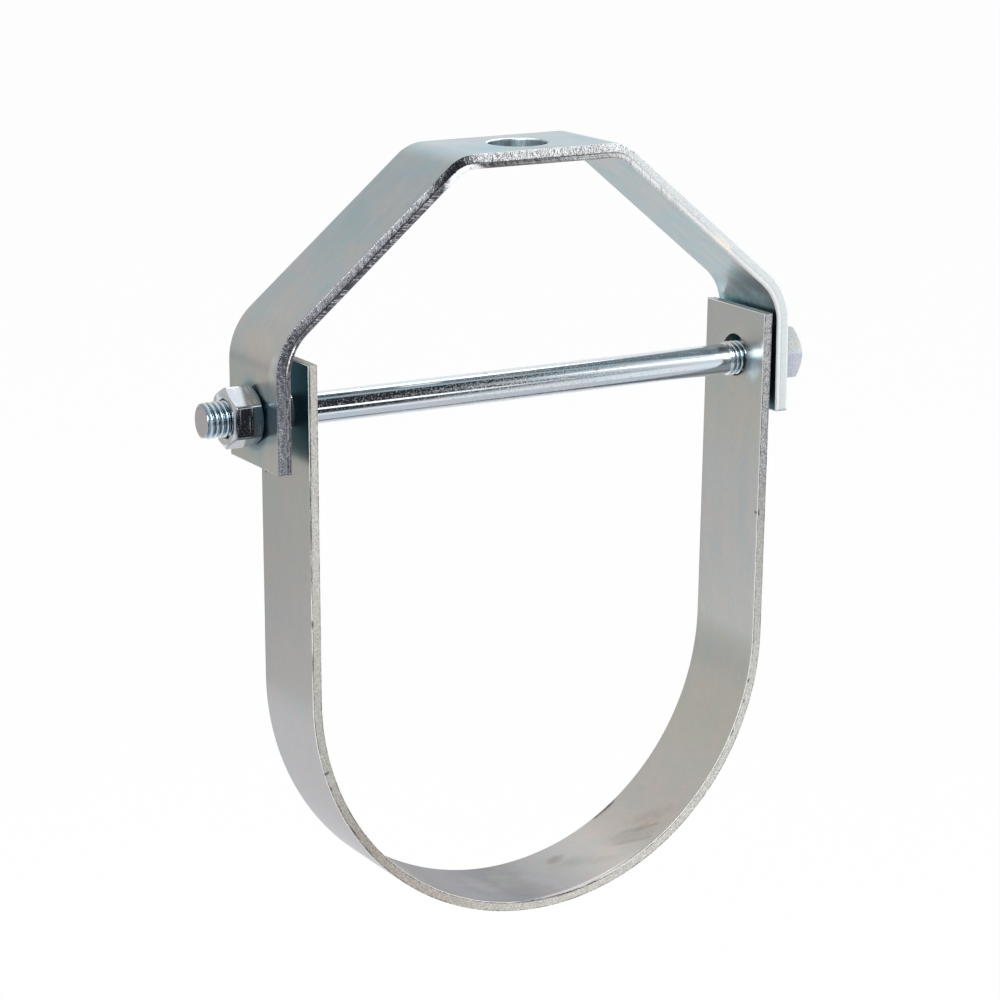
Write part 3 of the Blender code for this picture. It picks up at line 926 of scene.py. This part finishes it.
holeLook = {
    # The yoke's hole wall is painted darker and teal, as shade inside the hole
    "yoke": (0.26, 0.34, 0.37),
    "strap": (0.36, 0.36, 0.35),
    "nicks": ((0.9, 0.9, 0.15), 2.0, 0.6),
    "contrast": 0.25,
    "brimHighlight": (0.95, 0.96, 0.96),
}


# Punched hole: faint steps of light and dark round the wall, and a painted highlight on the brim at its
# back
def punchedWall(name, grey):
    look = holeLook
    material, shader, place, along, across, through = startFinish(name)
    nicks = streaks(place, *look["nicks"])
    darker, lighter = [tuple(level * part for part in grey)
                       for level in (1.0 - look["contrast"], 1.0 + look["contrast"])]
    colour = tint(fade(nicks, 0.3, 0.7), darker, lighter)
    # Painted highlight on the back brim of the hole
    brimHighlight = fade(through, 2.15, 2.4) * fade(across, 1.0, 6.0)
    colour = tint(brimHighlight, colour, look["brimHighlight"])
    feed(shader, Base_Color=colour, Metallic=1.0, Roughness=0.34 + nicks * 0.1 + brimHighlight * 0.15,
         Normal=bump(nicks, 0.00005, 0.5))
    return material


# In millimetres: the threads begin at left and right, the ends are the reach away from the centre, and the
# scars are (along, across, above, reach)
rodLook = {
    "grey": (0.61, 0.63, 0.65),
    "roughness": 0.06,
    "pits": 0.385,
    "pitSize": 2.1,
    "left": -95.0,
    "right": 89.5,
    "groove": (6.20, 5.55),
    "deep": (0.14, 0.26, 0.32),
    "centre": -2.95,
    "reach": 120.55,
    "cut": (0.40, 0.39, 0.405),
    "between": (-104.0, -103.0, -91.4, -90.4),
    "shade": (0.02, 0.06, 0.08),
    "scars": [(-14.0, -1.6, 5.5, 1.0), (30.0, -4.85, 3.0, 0.9)],
}


# The facet shades are painted shade on single facets: (across, above, shade), with the way that each faces
# as a unit vector
nutLook = {
    "grey": (0.47, 0.48, 0.50),
    "roughness": 0.10,
    "pits": 0.30,
    "pitSize": 2.0,
    "scratches": 0.9,
    "facetShades": [(0.87, -0.5, (0.55, 0.56, 0.58)), (0.87, 0.5, (0.62, 0.62, 0.64))],
}


rightNutLook = {
    "grey": (0.70, 0.69, 0.66),
    "roughness": 0.40,
    "metal": 0.45,
    "pits": 0.42,
    "pitSize": 2.0,
    "facetShades": [(0.87, -0.5, (0.90, 0.92, 1.04))],
}


# What the rod and the nuts share
zincLook = {
    "soft": ((0.05, 0.25, 0.25), 2.0, 0.5),
    "softShift": (0.93, 1.0, 1.03),
    "middle": (-75.0, 0.0, 25.0, 55.0),
    "middlePits": 0.06,
    "pit": (0.25, 0.26, 0.27),
    "scratched": ((3.2, 0.10, 0.10), 2.0, 0.5),
    "scratch": (0.80, 0.82, 0.84),
    "facetAt": (8.6, 9.3),
    "scar": (0.42, 0.37, 0.33),
}


# Bright zinc on the rod and the nuts: glossy with fine dull pits, most of them in the middle of the
# rod, with painted blue shade in the grooves of the thread and painted shade, less metallic, between the
# left straps, and duller cut ends. Each facet of a nut may have its own painted shade
def brightZinc(name, look):
    q = zincLook
    material, shader, place, along, across, above = startFinish(name)
    grey = look["grey"]
    pit = grain(place, look["pitSize"], 3.0, 0.65)
    shifted = tuple(part * shift for part, shift in zip(grey, q["softShift"]))
    colour = tint(fade(streaks(place, *q["soft"]), 0.35, 0.65), grey, shifted)
    few = look["pits"] + span(along, *q["middle"]) * q["middlePits"]
    pits = fade(pit - few, 0.03, -0.03)
    colour = tint(pits * 0.25, colour, q["pit"])
    marks = fade(streaks(place, *q["scratched"]), 0.60, 0.67) * look.get("scratches", 0.0)
    colour = tint(marks, colour, q["scratch"])
    roughness = marks * 0.30 + look["roughness"]
    metal = look.get("metal", 1.0)
    # Painted shade: single facets of a nut darker or bluer than the rest
    for sideways, upwards, shade in look.get("facetShades", []):
        facet = fade(across * sideways + above * upwards, *q["facetAt"])
        colour = tint(facet, colour, tint(1.0, colour, shade, "MULTIPLY"))
    for x, y, z, reach in look.get("scars", []):
        off = ((along - x) ** 2.0 + (across - y) ** 2.0 + (above - z) ** 2.0) ** 0.5
        scar = fade(off + (pit - 0.5) * 2.0, reach, reach * 0.5)
        colour = tint(scar, colour, q["scar"])
        roughness = scar * 0.35 + roughness
    if "deep" in look:
        out = (across * across + above * above) ** 0.5
        left, right = look["left"], look["right"]
        threaded = fade(along, left, left - 1.0) + fade(along, right, right + 1.0)
        # Painted blue shade in the grooves of the thread
        colour = tint(fade(out, *look["groove"]) * threaded * 0.9, colour, look["deep"])
        roughness = threaded * 0.09 + roughness
        tip = positive(along - look["centre"]) - look["reach"]
        colour = tint(fade(tip, -0.25, -0.05), colour, look["cut"])
        # Painted shade between the left straps, less metallic so that no bright rim shows there
        between = span(along, *look["between"])
        colour = tint(between * 0.9, colour, look["shade"])
        metal = 1.0 - between * 0.9
    feed(shader, Base_Color=colour, Metallic=metal, Roughness=roughness + pits * 0.42,
         Normal=bump(pit, 0.000006, 0.8))
    return material


yokeFace = rolledZinc("yoke face", yokeLook)
strapFace = rolledZinc("lower strap face", strapLook)
yokeEdge = tornEdge("yoke torn edge")
strapEdge = paleEdge("lower strap edge")
yokeHole = punchedWall("yoke hole wall", holeLook["yoke"])
strapHole = punchedWall("lower strap hole wall", holeLook["strap"])
rodZinc = brightZinc("rod zinc", rodLook)
nutZinc = brightZinc("nut zinc", nutLook)
dullZinc = brightZinc("dull nut zinc", rightNutLook)
print("finishes made")

yoke = makeYoke([yokeFace, yokeEdge, yokeHole])
lowerStrap = makeLowerStrap([strapFace, strapEdge, strapHole])
rod = makeRod([rodZinc])
leftMiddle = nutSize["leftInside"] - nutSize["height"] / 2.0
rightMiddle = nutSize["rightInside"] + nutSize["height"] / 2.0
nutLeft = makeNut("hex_nut_left", leftMiddle, nutSize["leftTurn"], [nutZinc])
nutRight = makeNut("hex_nut_right", rightMiddle, nutSize["rightTurn"], [dullZinc])

for piece, body, node, slot in (
    (yoke, "yoke", "yoke", "strap"),
    (lowerStrap, "u_strap", "u_strap", "strap"),
    (rod, "cross_rod", "cross_rod", "fastener"),
    (nutLeft, "cross_rod", "nut_left", "fastener"),
    (nutRight, "cross_rod", "nut_right", "fastener"),
):
    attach(piece, body)
    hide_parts(node)
print("pieces riding")


# The floor is in metres and the room in degrees, round from the front towards the right and up. A set of
# four rises over its first two and falls over its last two, and a set of two changes from one to the other
studio = {
    "floorDepth": -0.62,
    "floorFront": -0.55,
    "floorBack": 8.0,
    "floorSide": 6.0,
    "floorPaint": (0.9, 0.9, 0.9, 1.0),
    "floorWhite": 0.93,
    "floorNear": (0.80, 0.82, 0.88),
    "floorShine": [(0.1, 0.4, (1.22, 1.21, 1.21)), (1.0, 1.6, (0.80, 0.79, 0.76)),
                   (2.6, 3.6, (0.62, 0.61, 0.62))],
    "wallLeft": (0.92, 0.885, 0.855),
    "wallRight": (1.16, 1.20, 1.22),
    "ceiling": (0.53, 0.64, 0.70),
    "ceilingFrom": (40.0, 50.0),
    "ceilingAround": (-100.0, -80.0, 88.0, 104.0),
    "high": (1.50, 1.52, 1.55),
    "highFrom": (46.0, 52.0),
    "highAround": [(70.0, 84.0, 0.45), (98.0, 106.0, 1.0)],
    "room": (0.035, 0.036, 0.042),
    "roomEdge": 30.0,
    "roomHigh": (-32.0, -22.0, 52.0, 60.0),
    "window": (2.3, 2.35, 2.5),
    "windowHigh": (-3.0, 1.0, 7.0, 10.0),
    "windowEdge": (30.5, 27.5),
    "beside": (0.34, 0.36, 0.38),
    "besideAround": (-90.0, -70.0, -8.0, 4.0),
    "besideHigh": (-32.0, -22.0, 45.0, 60.0),
}


def rays(kind):  # 1 for rays of a kind
    return Wire(Wire.add("ShaderNodeLightPath").socket.node.outputs[kind])


# Floor, with its shadow kept and its lit part white
def makeFloor():
    q = studio
    material, shader = startMaterial("studio floor")
    tree = Wire.tree
    feed(shader, Base_Color=q["floorPaint"], Roughness=0.9)
    camera, glossy = rays("Is Camera Ray"), rays("Is Glossy Ray")
    depth = parts(Wire.add("ShaderNodeTexCoord", {}, {}, 3))[1]
    shine = q["floorNear"]
    for start, end, shade in q["floorShine"]:
        shine = tint(fade(depth, start, end), shine, shade)
    light = tint(glossy, (1.0, 1.0, 1.0), shine)
    glow = Wire.add("ShaderNodeEmission", {}, {"Color": light, "Strength": 1.0})
    surface = Wire.add("ShaderNodeMixShader", {},
                       {0: camera * q["floorWhite"] + glossy, 1: Wire(shader.outputs[0]), 2: glow})
    tree.links.new(surface.socket, tree.nodes["Material Output"].inputs["Surface"])
    side, front, back, z = q["floorSide"], q["floorFront"], q["floorBack"], q["floorDepth"]
    corners = [(-side, front, z), (side, front, z), (side, back, z), (-side, back, z)]
    mesh = bpy.data.meshes.new("floor")
    mesh.from_pydata(corners, [], [(0, 1, 2, 3)])
    mesh.materials.append(material)
    floor = bpy.data.objects.new("floor", mesh)
    bpy.context.scene.collection.objects.link(floor)


# World: white to the camera; to the metal, a pale room with a grey ceiling, which is dark in front
# except for a bright strip at the height of the part, and grey on the left
def makeRoom():
    q = studio
    world = bpy.data.worlds.new("studio")
    bpy.context.scene.world = world
    world.use_nodes = True
    Wire.tree = world.node_tree
    x, y, up = parts(Wire.add("ShaderNodeTexCoord"))
    perRadian = 57.2958
    around = Wire.add("ShaderNodeMath", {"operation": "ARCTAN2"}, {0: x, 1: 0.0 - y}) * perRadian
    height = Wire.add("ShaderNodeMath", {"operation": "ARCSINE"}, {0: up}) * perRadian
    room = tint(fade(x, -0.1, 0.35), q["wallLeft"], q["wallRight"])
    room = tint(fade(height, *q["ceilingFrom"]) * span(around, *q["ceilingAround"]), room, q["ceiling"])
    for start, end, share in q["highAround"]:
        room = tint(fade(around, start, end) * fade(height, *q["highFrom"]) * share, room, q["high"])
    # The right edge of the dark front leans over further up
    lean = Wire.add("ShaderNodeMapRange", {}, {"Value": height, "From Min": 20.0, "From Max": 53.0})
    edge = around - q["roomEdge"] - fade(height, -10.0, -4.0) * 1.4 - lean ** 1.8 * 24.0
    ahead = fade(edge, 2.5, -2.0) * fade(around, -8.0, 4.0)
    room = tint(ahead * span(height, *q["roomHigh"]), room, q["room"])
    strip = ahead * span(height, *q["windowHigh"])
    first, last = q["windowEdge"]
    room = tint(strip * fade(around, first, last), room, q["window"])
    room = tint(strip * fade(around, last, first) * 0.3, room, q["wallRight"])
    room = tint(span(around, *q["besideAround"]) * span(height, *q["besideHigh"]), room, q["beside"])
    room = tint(rays("Is Camera Ray"), room, (1.0, 1.0, 1.0))
    background = world.node_tree.nodes["Background"]
    world.node_tree.links.new(room.socket, background.inputs["Color"])


# Lamps as (name, place, width, height, watts)
lamps = {
    "target": (0.0, 0.0, -0.13),
    "soft": [("top light", (0.62, 0.62, 1.15), 1.4, 0.28, 2.2),
             ("right light", (1.25, -0.95, 0.20), 0.9, 1.3, 4.2),
             ("left light", (-0.93, -1.04, 0.60), 0.8, 0.8, 21.0)],
}


def aim(holder, place, target):
    holder.location = place
    holder.rotation_euler = (Vector(target) - Vector(place)).to_track_quat("-Z", "Y").to_euler()
    bpy.context.scene.collection.objects.link(holder)


def makeLamps():
    for name, place, width, height, power in lamps["soft"]:
        lamp = bpy.data.lights.new(name, "AREA")
        lamp.shape = "RECTANGLE"
        lamp.size = width
        lamp.size_y = height
        lamp.energy = power
        aim(bpy.data.objects.new(name, lamp), place, lamps["target"])


cameraSize = {
    "lens": 114.07,
    "sensor": 36.0,
    "place": (-0.55455, -0.95965, 0.15209),
    "target": (-0.00707, 0.0, -0.12864),
}


def makeCamera():
    q = cameraSize
    lens = bpy.data.cameras.new("camera")
    lens.lens = q["lens"]
    lens.sensor_width = q["sensor"]
    lens.sensor_fit = "HORIZONTAL"
    camera = bpy.data.objects.new("camera", lens)
    aim(camera, q["place"], q["target"])
    bpy.context.scene.camera = camera


makeFloor()
makeRoom()
makeLamps()
makeCamera()
bpy.context.scene.view_settings.view_transform = "Standard"
print("studio made")
